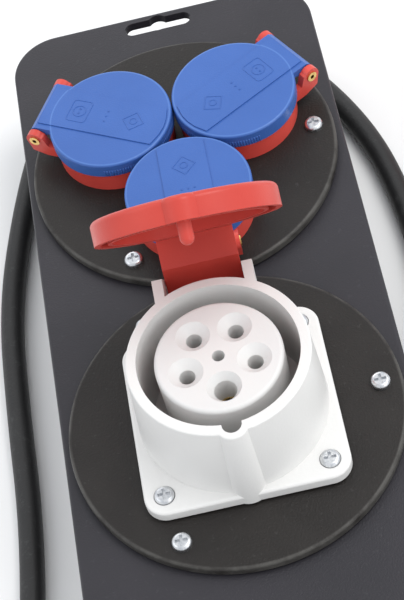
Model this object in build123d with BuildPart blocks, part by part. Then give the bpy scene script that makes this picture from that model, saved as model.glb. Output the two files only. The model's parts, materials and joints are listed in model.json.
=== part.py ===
from build123d import *
import math
import os

# Portable power distribution box. Millimetres, +Z out of the face plate, +Y towards the hang slot.
# The origin is on the floor under the middle of the face plate.

# Housing
plate_length = 300.0
plate_width = 131.0
plate_thickness = 4.0
plate_corner = 20.0
plate_edge = 1.6
plate_rim_depth = 1.2
foot_height = 3.0
foot_radius = 9.0
foot_hollow_radius = 3.0
foot_peg_radius = 2.5
tray_depth = 45.0
tray_wall = 3.0
tray_floor = 3.5
tray_corner = 17.0
tray_edge = 4.0
side_overhang = 4.5
slot_end_overhang = 15.5
tray_seal_thickness = 1.0
tray_seal_width = 2.4
boss_radius = 5.0
boss_inset = 11.0
tray_screw_radius = 2.0
tray_screw_length = 16.0
tray_screw_head_radius = 3.8
tray_screw_head_height = 2.4
tray_screw_sink = 30.0
plate_boss_length = 9.0
rib_thickness = 2.0
rib_places = (-108.0, 40.0, 84.0)
rib_height = 3.0
screw_clearance = 0.2
thread_clearance = 0.05

# Hang slot
slot_length = 29.0
slot_width = 7.0
slot_from_end = 7.0
slot_bump_radius = 4.4
slot_bump_height = 1.6

# Round cover plates
disc_radius = 62.5
disc_thickness = 3.4
disc_edge = 1.2
disc_pitch = 126.5
disc_from_slot_end = 87.3
disc_seal_thickness = 1.0
disc_seal_margin = 2.0
disc_screw_circle = 54.2
disc_screw_count = 3
disc_screw_length = 12.0
screw_head_radius = 3.7
screw_head_height = 2.3
screw_shank_radius = 2.0
screw_cross_width = 1.1
screw_cross_depth = 1.2
screw_boss_radius = 3.7
screw_boss_length = 7.0
opening_margin = 1.5

# Mains sockets, three on the upper plate. Heights are above the round cover plate.
socket_circle = 29.5
socket_angles = {"left": 150, "right": 30, "lower": 270}
body_radius = 24.3
body_shoulder = 9.3
body_rim_radius = 22.2
body_rim_top = 12.5
body_edge = 0.6
tail_radius = 21.6
tail_depth = 22.0
tail_lip = 2.0
tail_lip_width = 2.7
recess_radius = 19.7
recess_depth = 17.5
socket_fit = 0.2
hinge_out = 28.3
hinge_up = 11.8
ear_gap = 24.6
ear_thickness = 3.0
ear_radius = 3.7
lid_radius = 25.3
lid_top = 16.1
lid_thickness = 2.2
lid_skirt_wall = 2.4
lid_edge = 0.9
lid_gap = 0.3
lid_barrel_radius = 3.5
lid_side_gap = 0.3
lid_band_width = 19.0
lid_band_height = 0.5
hinge_pin_radius = 1.6
hinge_pin_bore = 0.9
hinge_pin_head_radius = 2.2
hinge_pin_head = 0.5
hinge_running_gap = 0.05
lid_spring_wire = 0.35
lid_spring_turns = 4
lid_spring_pocket = 8.0
lid_seal_thickness = 1.0
lid_seal_inner = 18.6
lid_seal_outer = 21.6
carrier_gap = 0.1
pin_spacing = 19.0
pin_entry_radius = 2.7
pin_entry_depth = 2.0
sleeve_outer_radius = 3.1
sleeve_bore_radius = 2.45
sleeve_length = 11.0
clip_width = 5.0
clip_thickness = 0.7
clip_slot_width = 6.0
clip_slot_depth = 2.4

# Five-pole socket on the lower plate
flange_size = 75.0
flange_corner = 8.0
flange_thickness = 4.6
flange_seal_thickness = 1.0
flange_hole_spacing = 60.0
flange_screw_sink = 1.0
flange_screw_length = 7.8
collar_top = 41.3
collar_radius = 32.7
collar_base_radius = 35.4
collar_bore = 29.0
collar_edge = 0.7
key_radius = 3.5
key_rib_radius = 5.8
key_rib_spread = 1.6
key_out = 29.2
well_floor = 4.6
shelf_thickness = 9.0
core_radius = 23.0
core_top = 39.8
core_edge = 1.6
core_flange_radius = 28.0
core_flange = 5.0
core_back = 26.0
core_fit = 0.2
socket_tail_radius = 31.0
socket_tail_depth = 30.4
contact_circle = 12.8
contact_hole_radius = 2.9
earth_hole_radius = 4.1
contact_dish_radius = 6.2
contact_dish_depth = 3.0
contact_pocket_radius = 3.8
earth_pocket_radius = 5.2
contact_sleeve_radius = 3.7
contact_bore_radius = 2.6
earth_sleeve_radius = 5.1
earth_bore_radius = 3.6
contact_sleeve_top = 26.0
contact_sleeve_back = 30.0
centre_hole_radius = 2.3
centre_hole_depth = 9.0

# Hinged lid of the five-pole socket. The pivot stands out from the collar's axis, above the round plate.
pivot_out = 44.0
pivot_up = 23.6
open_angle = 56.0
cap_radius = 33.2
cap_height = 8.75
cap_wall = 2.2
cap_edge = 2.2
cap_gap = 0.3
cap_ring_radius = 28.4
cap_ring_wall = 1.6
cap_ring_height = 6.0
cap_seal_inner = 28.7
cap_seal_outer = 30.8
cap_seal_thickness = 3.0
cap_lug_radius = 7.0
cap_lug_out = 28.6
peg_radius = 2.5
peg_length = 8.0
neck_half_width = 14.2
neck_thickness = 2.8
neck_gap = 0.6
neck_fold_drop = 10.8
pivot_barrel_radius = 4.0
big_ear_inner = 14.6
big_ear_thickness = 3.8
big_ear_radius = 4.2
big_ear_reach = 36.8
big_ear_foot = 10.0
big_pin_radius = 1.8

# Supply cable, gland and plug
cable_radius = 5.0
gland_height = 26.0
gland_wall_hole = 10.0
gland_hex_radius = 13.0
gland_hex_length = 5.0
gland_bore = 5.3
gland_inner_length = 10.0
locknut_radius = 14.0
locknut_length = 4.0
gland_nut_radius = 11.5
gland_nut_length = 12.0
gland_seal_length = 6.0
gland_seal_radius = 8.5
guard_length = 26.0
guard_root_radius = 8.4
guard_tip_radius = 6.3
guard_bore = 5.05
coil_ring_radius = 52.5
coil_band = 20.6
coil_height = 20.0
coil_corner = 4.0
coil_x = 137.0
coil_y = -60.0
tie_width = 12.0
tie_thickness = 0.9
tie_gap = 0.1
plug_x = 170.0
plug_y = 38.0
plug_lead = 18.0
plug_nut_radius = 11.5
plug_nut_length = 18.0
plug_grip_length = 62.0
plug_grip_rear_radius = 17.0
plug_grip_front_radius = 26.0
plug_flange_radius = 33.0
plug_flange_length = 8.0
shroud_radius = 28.0
shroud_bore = 24.4
shroud_length = 37.0
shroud_floor = 2.0
plug_pin_radius = 2.5
plug_earth_pin_radius = 3.5
plug_pin_length = 34.0
plug_pin_root = 8.0
plug_pin_neck = 0.4
plug_key_radius = 3.2

# Inside
block_length = 64.0
block_width = 20.0
block_height = 18.0
block_y = -12.0
block_poles = 5
block_pitch = 12.0
block_screw_radius = 2.4
block_screw_length = 6.0
block_screw_sink = 1.5
lead_radius = 1.6
jacket_radius = 3.2
clamp_length = 34.0
clamp_width = 10.0
clamp_y = -125.0
clamp_screw_radius = 1.7
clamp_screw_spacing = 24.0
clamp_screw_length = 18.0
clamp_split_gap = 0.8
clamp_bridge = 9.0

plate_top = foot_height + tray_depth + tray_seal_thickness + plate_thickness
plate_bottom = plate_top - plate_thickness
tray_top = foot_height + tray_depth
floor_top = foot_height + tray_floor
upper_y = plate_length / 2 - disc_from_slot_end
lower_y = upper_y - disc_pitch
disc_bottom = plate_top + disc_seal_thickness
seat = disc_bottom + disc_thickness
tray_width = plate_width - 2 * side_overhang
tray_low_y = -plate_length / 2 + side_overhang
tray_high_y = plate_length / 2 - slot_end_overhang
tray_length = tray_high_y - tray_low_y
tray_y = (tray_high_y + tray_low_y) / 2
slot_top = plate_length / 2 - slot_from_end + slot_width / 2
disc_centres = {"upper": (0, upper_y), "lower": (0, lower_y)}

boss_x = tray_width / 2 - boss_inset
boss_places = [
    (side * boss_x, y)
    for side in (-1, 1)
    for y in (tray_low_y + boss_inset, (upper_y + lower_y) / 2, tray_high_y - boss_inset)
]
screw_places = [
    (
        x + disc_screw_circle * math.cos(math.radians(turn * 360 / disc_screw_count)),
        y + disc_screw_circle * math.sin(math.radians(turn * 360 / disc_screw_count)),
    )
    for x, y in disc_centres.values()
    for turn in range(disc_screw_count)
]
socket_places = [
    (
        socket_circle * math.cos(math.radians(angle)),
        upper_y + socket_circle * math.sin(math.radians(angle)),
    )
    for angle in socket_angles.values()
]
foot_places = [
    (side * (tray_width / 2 - 20), y) for side in (-1, 1) for y in (tray_low_y + 26, tray_high_y - 26)
]
flange_holes = [
    (sx * flange_hole_spacing / 2, lower_y + sy * flange_hole_spacing / 2)
    for sx in (-1, 1)
    for sy in (-1, 1)
]
contact_angles = [-90 + 72 * turn for turn in range(5)]
hollow_radius = tail_radius + opening_margin
lower_opening_radius = socket_tail_radius + opening_margin
pivot = (0, lower_y + pivot_out, seat + pivot_up)


def save(part, label):
    part.label = label
    export_step(part, f"parts/{label}.step")


os.makedirs("parts", exist_ok=True)

# ---------------------------------------------------------------- housing
with BuildPart() as rear_tray:
    with BuildSketch(Plane.XY.offset(foot_height)):
        with Locations((0, tray_y)):
            RectangleRounded(tray_width, tray_length, tray_corner)
    extrude(amount=tray_depth)
    fillet(rear_tray.faces().sort_by(Axis.Z)[0].edges(), tray_edge)
    with BuildSketch(Plane.XY.offset(floor_top)):
        with Locations((0, tray_y)):
            RectangleRounded(
                tray_width - 2 * tray_wall, tray_length - 2 * tray_wall, tray_corner - tray_wall
            )
    extrude(amount=tray_depth, mode=Mode.SUBTRACT)
    # screw pillars from the floor up to the plate's own bosses
    with BuildSketch(Plane.XY.offset(foot_height + tray_floor / 2)):
        with Locations(*boss_places):
            Circle(boss_radius)
    extrude(amount=tray_top - plate_boss_length - foot_height - tray_floor / 2)
    # each screw sinks into its pillar from the rear
    with BuildSketch(Plane.XY.offset(foot_height)):
        with Locations(*boss_places):
            Circle(tray_screw_head_radius + screw_clearance)
    extrude(amount=tray_screw_sink, mode=Mode.SUBTRACT)
    with BuildSketch(Plane.XY.offset(foot_height)):
        with Locations(*boss_places):
            Circle(tray_screw_radius + screw_clearance)
    extrude(amount=tray_depth, mode=Mode.SUBTRACT)
    # stiffening ribs across the floor
    with BuildSketch(Plane.XY.offset(foot_height + tray_floor / 2)):
        with Locations(*[(0, y) for y in rib_places]):
            Rectangle(tray_width - tray_wall, rib_thickness)
    extrude(amount=tray_floor / 2 + rib_height)
    # cable hole in the foot end
    with BuildSketch(Plane((0, tray_low_y, gland_height), x_dir=(1, 0, 0), z_dir=(0, -1, 0))):
        Circle(gland_wall_hole)
    extrude(amount=-2 * tray_wall, mode=Mode.SUBTRACT)
    with BuildSketch(Plane.XY.offset(foot_height)):
        with Locations(*foot_places):
            Circle(foot_peg_radius)
    extrude(amount=tray_floor - 1, mode=Mode.SUBTRACT)
save(rear_tray.part, "rear_tray")

with BuildPart() as tray_feet:
    with BuildSketch(Plane.XY):
        with Locations(*foot_places):
            Circle(foot_radius)
            Circle(foot_hollow_radius, mode=Mode.SUBTRACT)
    extrude(amount=foot_height)
    fillet(tray_feet.faces().group_by(Axis.Z)[0].edges().filter_by(GeomType.CIRCLE), 0.8)
    with BuildSketch(Plane.XY.offset(foot_height / 2)):
        with Locations(*foot_places):
            Circle(foot_hollow_radius)
    extrude(amount=foot_height / 2)
    with BuildSketch(Plane.XY.offset(foot_height)):
        with Locations(*foot_places):
            Circle(foot_peg_radius - thread_clearance)
    extrude(amount=tray_floor - 1.2)
save(tray_feet.part, "tray_feet")

with BuildPart() as tray_seal:
    with BuildSketch(Plane.XY.offset(tray_top)):
        with Locations((0, tray_y)):
            RectangleRounded(tray_width - 0.4, tray_length - 0.4, tray_corner - 0.2)
            RectangleRounded(
                tray_width - 2 * tray_seal_width,
                tray_length - 2 * tray_seal_width,
                tray_corner - tray_seal_width,
                mode=Mode.SUBTRACT,
            )
    extrude(amount=tray_seal_thickness)
save(tray_seal.part, "tray_seal")

with BuildPart() as face_plate:
    with BuildSketch(Plane.XY.offset(plate_bottom)):
        RectangleRounded(plate_width, plate_length, plate_corner)
    extrude(amount=plate_thickness)
    fillet(face_plate.faces().sort_by(Axis.Z)[-1].edges(), plate_edge)
    # bosses under the plate for the rear screws and the cover screws
    with BuildSketch(Plane.XY.offset(plate_bottom)):
        with Locations(*boss_places):
            Circle(boss_radius)
    extrude(amount=-plate_boss_length - tray_seal_thickness)
    with BuildSketch(Plane.XY.offset(plate_bottom)):
        with Locations(*screw_places):
            Circle(screw_boss_radius)
    extrude(amount=-screw_boss_length)
    with BuildSketch(Plane.XY.offset(plate_bottom - plate_boss_length - tray_seal_thickness)):
        with Locations(*boss_places):
            Circle(tray_screw_radius + thread_clearance)
    extrude(amount=plate_boss_length + plate_thickness / 2, mode=Mode.SUBTRACT)
    with BuildSketch(Plane.XY.offset(plate_top)):
        with Locations(*screw_places):
            Circle(screw_shank_radius + thread_clearance)
    extrude(amount=-plate_thickness - screw_boss_length, mode=Mode.SUBTRACT)
    # openings behind the two round covers
    with BuildSketch(Plane.XY.offset(plate_top)):
        with Locations((0, upper_y)):
            Circle(socket_circle)
        with Locations(*socket_places):
            Circle(hollow_radius)
        with Locations((0, lower_y)):
            Circle(lower_opening_radius)
    extrude(amount=-plate_thickness, mode=Mode.SUBTRACT)
    # hang slot with its rounded notch for a hook or a screw head
    with BuildSketch(Plane.XY.offset(plate_top)):
        with Locations((0, plate_length / 2 - slot_from_end)):
            SlotOverall(slot_length, slot_width)
        with Locations((0, slot_top + slot_bump_height - slot_bump_radius)):
            Circle(slot_bump_radius)
    extrude(amount=-plate_thickness, mode=Mode.SUBTRACT)
save(face_plate.part, "face_plate")

# ---------------------------------------------------------------- round cover plates
with BuildPart() as disc_seals:
    with BuildSketch(Plane.XY.offset(plate_top)):
        with Locations(*disc_centres.values()):
            Circle(disc_radius - disc_seal_margin)
        with Locations(*screw_places):
            Circle(screw_shank_radius + screw_clearance, mode=Mode.SUBTRACT)
        with Locations((0, upper_y)):
            Circle(socket_circle, mode=Mode.SUBTRACT)
        with Locations(*socket_places):
            Circle(hollow_radius, mode=Mode.SUBTRACT)
        with Locations((0, lower_y)):
            Circle(lower_opening_radius, mode=Mode.SUBTRACT)
    extrude(amount=disc_seal_thickness)
save(disc_seals.part, "disc_seals")

with BuildPart() as upper_disc:
    with BuildSketch(Plane.XY.offset(disc_bottom)):
        with Locations((0, upper_y)):
            Circle(disc_radius)
    extrude(amount=disc_thickness)
    fillet(upper_disc.faces().sort_by(Axis.Z)[-1].edges(), disc_edge)
    with BuildSketch(Plane.XY.offset(disc_bottom)):
        with Locations(*screw_places[:disc_screw_count]):
            Circle(screw_shank_radius + screw_clearance)
        with Locations(*socket_places):
            Circle(tail_radius + socket_fit)
    extrude(amount=disc_thickness, mode=Mode.SUBTRACT)
save(upper_disc.part, "upper_disc")

with BuildPart() as lower_disc:
    with BuildSketch(Plane.XY.offset(disc_bottom)):
        with Locations((0, lower_y)):
            Circle(disc_radius)
    extrude(amount=disc_thickness)
    fillet(lower_disc.faces().sort_by(Axis.Z)[-1].edges(), disc_edge)
    with BuildSketch(Plane.XY.offset(disc_bottom)):
        with Locations(*screw_places[disc_screw_count:]):
            Circle(screw_shank_radius + screw_clearance)
        with Locations(*flange_holes):
            Circle(screw_shank_radius + thread_clearance)
        with Locations((0, lower_y)):
            Circle(socket_tail_radius + socket_fit)
    extrude(amount=disc_thickness, mode=Mode.SUBTRACT)
save(lower_disc.part, "lower_disc")

with BuildPart() as disc_screws:
    with BuildSketch(Plane.XY.offset(seat)):
        with Locations(*screw_places):
            Circle(screw_head_radius)
    extrude(amount=screw_head_height)
    fillet(disc_screws.faces().group_by(Axis.Z)[-1].edges(), screw_head_height * 0.6)
    with BuildSketch(Plane.XY.offset(seat)):
        with Locations(*screw_places):
            Circle(screw_shank_radius)
    extrude(amount=-disc_screw_length)
    with BuildSketch(Plane.XY.offset(seat + screw_head_height)):
        with Locations(*screw_places):
            Rectangle(screw_head_radius * 1.2, screw_cross_width)
            Rectangle(screw_cross_width, screw_head_radius * 1.2)
    extrude(amount=-screw_cross_depth, mode=Mode.SUBTRACT)
save(disc_screws.part, "disc_screws")

with BuildPart() as tray_screws:
    head_seat = foot_height + tray_screw_sink
    with BuildSketch(Plane.XY.offset(head_seat)):
        with Locations(*boss_places):
            Circle(tray_screw_head_radius)
    extrude(amount=-tray_screw_head_height)
    with BuildSketch(Plane.XY.offset(head_seat)):
        with Locations(*boss_places):
            Circle(tray_screw_radius)
    extrude(amount=tray_screw_length)
    with BuildSketch(Plane.XY.offset(head_seat - tray_screw_head_height)):
        with Locations(*boss_places):
            Rectangle(tray_screw_head_radius * 1.2, screw_cross_width)
            Rectangle(screw_cross_width, tray_screw_head_radius * 1.2)
    extrude(amount=screw_cross_depth, mode=Mode.SUBTRACT)
save(tray_screws.part, "tray_screws")

# ---------------------------------------------------------------- mains sockets
# Each socket is drawn about its own axis on top of the round plate. Local x points out to its hinge, along
# the plate's radius, and the hinge axis runs along local y.
for (side, angle), (socket_x, socket_y) in zip(socket_angles.items(), socket_places):
    outward = Vector(math.cos(math.radians(angle)), math.sin(math.radians(angle)), 0)
    hub = Plane((socket_x, socket_y, seat), x_dir=outward, z_dir=(0, 0, 1))
    hinge_axis = Plane(
        Vector(socket_x, socket_y, seat + hinge_up) + outward * hinge_out,
        x_dir=outward,
        z_dir=(outward.Y, -outward.X, 0),
    )
    recess_floor = body_rim_top - recess_depth
    carrier_back = -tail_depth + tail_lip
    sides = (-1, 1)

    with BuildPart() as mains_body:
        with BuildSketch(hub):
            Circle(body_radius)
        extrude(amount=body_shoulder)
        fillet(mains_body.faces().sort_by(Axis.Z)[-1].edges(), body_edge)
        with BuildSketch(hub.offset(body_shoulder)):
            Circle(body_rim_radius)
        extrude(amount=body_rim_top - body_shoulder)
        with BuildSketch(hub):
            Circle(tail_radius)
        extrude(amount=-tail_depth)
        # hinge ears, cut back where the lid's skirt comes down between them and the rim
        for ear in sides:
            inner = ear * ear_gap / 2
            with BuildSketch(hinge_axis.offset(inner)):
                with BuildLine():
                    Polyline(
                        (body_rim_radius - 4 - hinge_out, body_shoulder * 0.4 - hinge_up),
                        (body_radius - hinge_out, body_shoulder * 0.4 - hinge_up),
                        (2.2, 5.6 - hinge_up),
                        (ear_radius, 0),
                        (0, ear_radius),
                        (-ear_radius, ear_radius * 0.55),
                        (body_radius - 1.5 - hinge_out, body_shoulder - hinge_up),
                        (body_rim_radius - 4 - hinge_out, body_shoulder - hinge_up),
                        close=True,
                    )
                make_face()
                Circle(ear_radius)
            extrude(amount=ear * ear_thickness)
        with BuildSketch(hub.offset(body_shoulder)):
            Circle(lid_radius + 2 * lid_gap)
            Circle(body_rim_radius, mode=Mode.SUBTRACT)
        extrude(amount=lid_top, mode=Mode.SUBTRACT)
        # plug recess, and the bore behind it that takes the contact carrier up to the rear lip
        with BuildSketch(hub.offset(body_rim_top)):
            Circle(recess_radius)
        extrude(amount=-(body_rim_top - carrier_back), mode=Mode.SUBTRACT)
        with BuildSketch(hub.offset(-tail_depth)):
            Circle(recess_radius - tail_lip_width)
        extrude(amount=tail_lip, mode=Mode.SUBTRACT)
        with BuildSketch(hinge_axis):
            Circle(hinge_pin_radius)
        extrude(amount=ear_gap / 2 + ear_thickness, both=True, mode=Mode.SUBTRACT)
    save(mains_body.part, f"{side}_socket_body")

    with BuildPart() as mains_carrier:
        with BuildSketch(hub.offset(carrier_back)):
            Circle(recess_radius - carrier_gap)
        extrude(amount=recess_floor - carrier_back)
        with BuildSketch(hub.offset(recess_floor)):
            with Locations((0, pin_spacing / 2), (0, -pin_spacing / 2)):
                Circle(pin_entry_radius)
        extrude(amount=-pin_entry_depth, mode=Mode.SUBTRACT)
        with BuildSketch(hub.offset(recess_floor - pin_entry_depth)):
            with Locations((0, pin_spacing / 2), (0, -pin_spacing / 2)):
                Circle(sleeve_outer_radius + thread_clearance)
        extrude(amount=-tail_depth, mode=Mode.SUBTRACT)
        with BuildSketch(hub.offset(recess_floor)):
            with Locations(*[(ear * (recess_radius - clip_slot_depth / 2), 0) for ear in sides]):
                Rectangle(clip_slot_depth, clip_slot_width)
        extrude(amount=-tail_depth, mode=Mode.SUBTRACT)
    save(mains_carrier.part, f"{side}_contact_carrier")

    with BuildPart() as mains_sleeves:
        with BuildSketch(hub.offset(recess_floor - pin_entry_depth)):
            with Locations((0, pin_spacing / 2), (0, -pin_spacing / 2)):
                Circle(sleeve_outer_radius)
                Circle(sleeve_bore_radius, mode=Mode.SUBTRACT)
        extrude(amount=-sleeve_length)
    save(mains_sleeves.part, f"{side}_pin_sleeves")

    with BuildPart() as earth_clips:
        for ear in sides:
            wall = recess_radius - 0.35
            with BuildSketch(Plane(hub.origin, x_dir=outward * ear, z_dir=hub.y_dir * -ear)):
                with BuildLine():
                    Polyline(
                        (wall, carrier_back + 1),
                        (wall, recess_floor + 1.5),
                        (wall - 1.9, recess_floor + 7),
                        (wall, recess_floor + 12),
                        (wall - clip_thickness, recess_floor + 12),
                        (wall - 1.9 - clip_thickness, recess_floor + 7),
                        (wall - clip_thickness, recess_floor + 1.5),
                        (wall - clip_thickness, carrier_back + 1),
                        close=True,
                    )
                make_face()
            extrude(amount=clip_width / 2, both=True)
    save(earth_clips.part, f"{side}_earth_clips")

    with BuildPart() as mains_lid:
        with BuildSketch(hub.offset(body_shoulder + lid_gap)):
            Circle(lid_radius)
        extrude(amount=lid_top - body_shoulder - lid_gap)
        fillet(mains_lid.faces().sort_by(Axis.Z)[-1].edges(), lid_edge)
        # tongue and barrel round the hinge pin, between the ears
        with BuildSketch(hinge_axis):
            with BuildLine():
                Polyline(
                    (lid_radius - 4 - hinge_out, lid_top - lid_thickness - hinge_up),
                    (0, -lid_barrel_radius * 0.2),
                    (lid_barrel_radius * 0.9, lid_barrel_radius * 0.4),
                    (2.3, lid_top - 1.3 - hinge_up),
                    (0.6, lid_top - hinge_up),
                    (lid_radius - 8 - hinge_out, lid_top - hinge_up),
                    (lid_radius - 8 - hinge_out, lid_top - lid_thickness - hinge_up),
                    close=True,
                )
            make_face()
            Circle(lid_barrel_radius)
        extrude(amount=ear_gap / 2 - lid_side_gap, both=True)
        with BuildSketch(hub.offset(body_shoulder)):
            Circle(lid_radius - lid_skirt_wall)
        extrude(amount=lid_top - lid_thickness - body_shoulder, mode=Mode.SUBTRACT)
        # raised band from the hinge to a blunt point at the free edge
        with BuildSketch(hub.offset(lid_top)):
            with BuildLine():
                Polyline(
                    (hinge_out, lid_band_width / 2),
                    (hinge_out, -lid_band_width / 2),
                    (-lid_radius * 0.55, -lid_band_width / 2),
                    (-lid_radius * 0.86, 0),
                    (-lid_radius * 0.55, lid_band_width / 2),
                    close=True,
                )
            make_face()
        extrude(amount=lid_band_height)
        with BuildSketch(hinge_axis):
            Circle(hinge_pin_radius + hinge_running_gap)
        extrude(amount=ear_gap, both=True, mode=Mode.SUBTRACT)
        # pocket for the spring in the middle of the barrel, open below
        with BuildSketch(hinge_axis):
            Circle(hinge_pin_radius + 1.2)
            with Locations((0, -lid_barrel_radius)):
                Rectangle(2 * (hinge_pin_radius + 1.2), 2 * lid_barrel_radius)
        extrude(amount=lid_spring_pocket / 2, both=True, mode=Mode.SUBTRACT)
    save(mains_lid.part, f"{side}_lid")

    with BuildPart() as mains_lid_seal:
        with BuildSketch(hub.offset(lid_top - lid_thickness)):
            Circle(lid_seal_outer)
            Circle(lid_seal_inner, mode=Mode.SUBTRACT)
        extrude(amount=-lid_seal_thickness)
    save(mains_lid_seal.part, f"{side}_lid_seal")

    with BuildPart() as hinge_pin:
        half_pin = ear_gap / 2 + ear_thickness
        with BuildSketch(hinge_axis):
            Circle(hinge_pin_radius)
        extrude(amount=half_pin, both=True)
        for ear in sides:
            with BuildSketch(hinge_axis.offset(ear * half_pin)):
                Circle(hinge_pin_head_radius)
            extrude(amount=ear * hinge_pin_head)
        with BuildSketch(hinge_axis):
            Circle(hinge_pin_bore)
        extrude(amount=half_pin + hinge_pin_head, both=True, mode=Mode.SUBTRACT)
    save(hinge_pin.part, f"{side}_hinge_pin")

    spring_radius = hinge_pin_radius + 0.15 + lid_spring_wire
    spring_pitch = 2 * lid_spring_wire + 0.4
    with BuildPart() as lid_spring:
        spring_length = spring_pitch * lid_spring_turns
        with BuildLine() as coil_line:
            Helix(
                spring_pitch,
                spring_length,
                spring_radius,
                center=hinge_axis.origin - hinge_axis.z_dir * spring_length / 2,
                direction=hinge_axis.z_dir,
            )
        with BuildSketch(Plane(coil_line.line @ 0, z_dir=coil_line.line % 0)):
            Circle(lid_spring_wire)
        sweep(path=coil_line.line, is_frenet=True)
    save(lid_spring.part, f"{side}_lid_spring")

# ---------------------------------------------------------------- five-pole socket
face = Plane((0, lower_y, seat))
with BuildPart() as flange_seal:
    with BuildSketch(face):
        RectangleRounded(flange_size - 2, flange_size - 2, flange_corner - 1)
        Circle(socket_tail_radius + socket_fit, mode=Mode.SUBTRACT)
        with GridLocations(flange_hole_spacing, flange_hole_spacing, 2, 2):
            Circle(screw_shank_radius + screw_clearance, mode=Mode.SUBTRACT)
    extrude(amount=flange_seal_thickness)
save(flange_seal.part, "flange_seal")

flange_top = flange_seal_thickness + flange_thickness
with BuildPart() as five_pole_housing:
    with BuildSketch(face.offset(flange_seal_thickness)):
        RectangleRounded(flange_size, flange_size, flange_corner)
    extrude(amount=flange_thickness)
    fillet(five_pole_housing.faces().sort_by(Axis.Z)[-1].edges(), 1.2)
    # collar and the rib over its keyway, both wider at the flange than at the rim
    with BuildSketch(face.offset(flange_seal_thickness)):
        Circle(collar_base_radius)
    with BuildSketch(face.offset(collar_top)):
        Circle(collar_radius)
    loft()
    with BuildSketch(face.offset(flange_seal_thickness)):
        with Locations((0, -key_out - key_rib_spread)):
            Circle(key_rib_radius + key_rib_spread)
    with BuildSketch(face.offset(collar_top)):
        with Locations((0, -key_out)):
            Circle(key_rib_radius)
    loft()
    fillet(five_pole_housing.faces().sort_by(Axis.Z)[-1].edges(), collar_edge)
    # hinge ears, from the collar's rim out and down to the pivot
    for ear in (-1, 1):
        inner = ear * big_ear_inner
        ear_plane = Plane((inner, lower_y, seat), x_dir=(0, 1, 0), z_dir=(1, 0, 0))
        with BuildSketch(ear_plane):
            with BuildLine():
                Polyline(
                    (collar_bore - 3.5, collar_top),
                    (big_ear_reach, collar_top),
                    (pivot_out + big_ear_radius * 0.8, pivot_up + big_ear_radius * 0.6),
                    (pivot_out + big_ear_radius * 0.5, pivot_up - big_ear_radius * 0.86),
                    (collar_bore - 3.5, big_ear_foot),
                    close=True,
                )
            make_face()
            with Locations((pivot_out, pivot_up)):
                Circle(big_ear_radius)
        extrude(amount=ear * big_ear_thickness)
    # rear tail, well between collar and core, core bore, keyway
    with BuildSketch(face.offset(flange_seal_thickness)):
        Circle(socket_tail_radius)
    extrude(amount=-flange_seal_thickness - socket_tail_depth)
    with BuildSketch(face.offset(collar_top)):
        Circle(collar_bore)
        with Locations((0, -key_out)):
            Circle(key_radius)
    extrude(amount=well_floor - collar_top, mode=Mode.SUBTRACT)
    with BuildSketch(face.offset(well_floor)):
        Circle(core_radius + core_fit)
    extrude(amount=-shelf_thickness, mode=Mode.SUBTRACT)
    with BuildSketch(face.offset(well_floor - shelf_thickness)):
        Circle(core_flange_radius + core_fit)
    extrude(amount=-socket_tail_depth, mode=Mode.SUBTRACT)
    with BuildSketch(face.offset(flange_top)):
        with GridLocations(flange_hole_spacing, flange_hole_spacing, 2, 2):
            Circle(screw_shank_radius + screw_clearance)
    extrude(amount=-flange_thickness, mode=Mode.SUBTRACT)
    with BuildSketch(face.offset(flange_top)):
        with GridLocations(flange_hole_spacing, flange_hole_spacing, 2, 2):
            Circle(screw_head_radius + screw_clearance)
    extrude(amount=-flange_screw_sink, mode=Mode.SUBTRACT)
    with BuildSketch(Plane((0, pivot[1], pivot[2]), x_dir=(0, 1, 0), z_dir=(1, 0, 0))):
        Circle(big_pin_radius)
    extrude(amount=big_ear_inner + big_ear_thickness, both=True, mode=Mode.SUBTRACT)
save(five_pole_housing.part, "five_pole_housing")

with BuildPart() as five_pole_core:
    with BuildSketch(face.offset(well_floor - shelf_thickness)):
        Circle(core_flange_radius)
    extrude(amount=-core_flange)
    with BuildSketch(face.offset(-core_back)):
        Circle(core_radius)
    extrude(amount=core_back + core_top)
    fillet(five_pole_core.faces().sort_by(Axis.Z)[-1].edges(), core_edge)
    for turn, contact_angle in enumerate(contact_angles):
        x = contact_circle * math.cos(math.radians(contact_angle))
        y = contact_circle * math.sin(math.radians(contact_angle))
        hole, pocket = (
            (contact_hole_radius, contact_pocket_radius)
            if turn
            else (earth_hole_radius, earth_pocket_radius)
        )
        with BuildSketch(face.offset(core_top)):
            with Locations((x, y)):
                Circle(contact_dish_radius)
        with BuildSketch(face.offset(core_top - contact_dish_depth)):
            with Locations((x, y)):
                Circle(hole)
        loft(mode=Mode.SUBTRACT)
        with BuildSketch(face.offset(core_top)):
            with Locations((x, y)):
                Circle(hole)
        extrude(amount=-core_top - core_back, mode=Mode.SUBTRACT)
        with BuildSketch(face.offset(contact_sleeve_top)):
            with Locations((x, y)):
                Circle(pocket)
        extrude(amount=-contact_sleeve_top - core_back, mode=Mode.SUBTRACT)
    with BuildSketch(face.offset(core_top)):
        Circle(centre_hole_radius)
    extrude(amount=-centre_hole_depth, mode=Mode.SUBTRACT)
save(five_pole_core.part, "five_pole_core")

with BuildPart() as five_pole_sleeves:
    with BuildSketch(face.offset(contact_sleeve_top)):
        for turn, contact_angle in enumerate(contact_angles):
            outer, bore = (
                (contact_sleeve_radius, contact_bore_radius)
                if turn
                else (earth_sleeve_radius, earth_bore_radius)
            )
            with PolarLocations(contact_circle, 1, start_angle=contact_angle):
                Circle(outer)
                Circle(bore, mode=Mode.SUBTRACT)
    extrude(amount=-contact_sleeve_top - contact_sleeve_back)
save(five_pole_sleeves.part, "five_pole_sleeves")

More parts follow.
